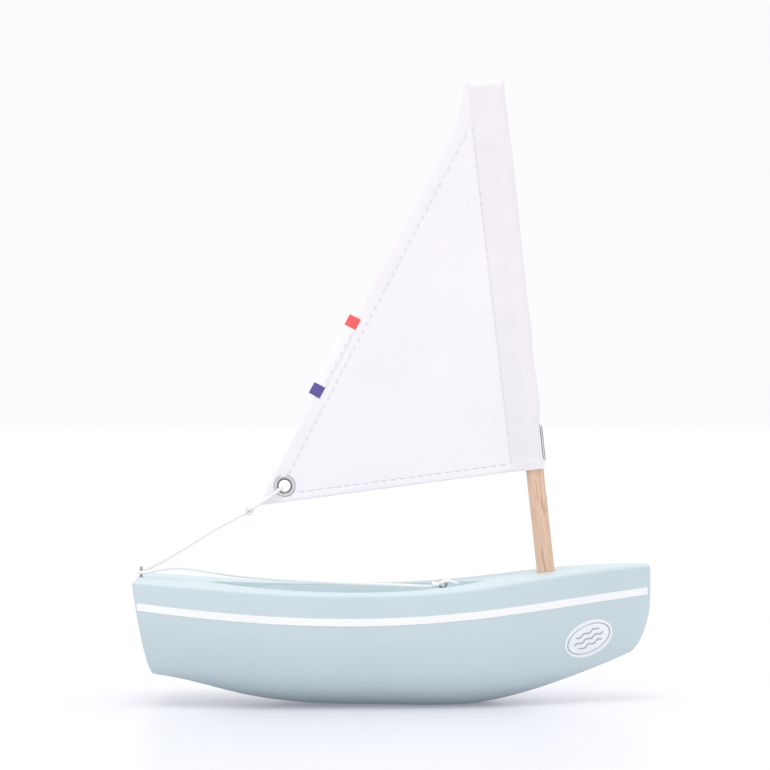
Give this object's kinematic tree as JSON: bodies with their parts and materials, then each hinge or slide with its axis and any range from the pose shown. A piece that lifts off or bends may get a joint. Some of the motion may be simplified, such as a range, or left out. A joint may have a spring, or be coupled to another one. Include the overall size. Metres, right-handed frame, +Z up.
{
  "type": "toy pond sailboat",
  "caption": "Painted solid-wood toy sailboat with a raked dowel mast, a sleeved cloth sail that swings, and a cotton sheet tied to screw eyes.",
  "frame": {"origin": "under the middle of the hull, on the flat of the keel", "axes": "+X towards the bow, +Y to port, +Z up"},
  "size_m": [0.1682, 0.0604, 0.2022],
  "materials": {
    "hull_paint": "pale blue paint on solid pine, satin",
    "mast_wood": "bare beech dowel",
    "sail_cloth": "white cotton sailcloth",
    "thread": "grey sewing thread",
    "eyelet_metal": "nickel-bright pressed eyelet",
    "label_ribbon": "woven ribbon, white with two plain coloured ends",
    "staple_wire": "galvanised staple wire",
    "screw_eye_wire": "dull zinc-plated wire",
    "sheet_cord": "white twisted cotton",
    "sticker_film": "white film",
    "stripe_film": "white film"
  },
  "bodies": {
    "hull": {"hull": "hull_paint", "stripe_starboard": "stripe_film", "stripe_port": "stripe_film", "bow_sticker": "sticker_film", "stern_screw_eye": "screw_eye_wire", "cockpit_screw_eye": "screw_eye_wire", "sheet_deck_run": "sheet_cord", "cockpit_knot": "sheet_cord", "sheet_tail": "sheet_cord"},
    "rig": {"mast": "mast_wood", "sail": "sail_cloth", "seam_stitching": "thread", "leech_stitching": "thread", "foot_stitching": "thread", "clew_eyelet": "eyelet_metal", "clew_washer": "eyelet_metal", "leech_label": "label_ribbon", "label_stitching": "thread", "luff_staple": "staple_wire", "clew_loop": "sheet_cord", "clew_knot": "sheet_cord", "sheet_span": "sheet_cord"}
  },
  "joints": [
    {"name": "mast_turn", "type": "hinge", "parent": "hull", "child": "rig", "pos_m": [0.05095, 0, 0.0424], "axis": [-0.108, 0, 0.9942], "range_deg": [-10, 10], "deforming": ["sheet_span"]}
  ]
}
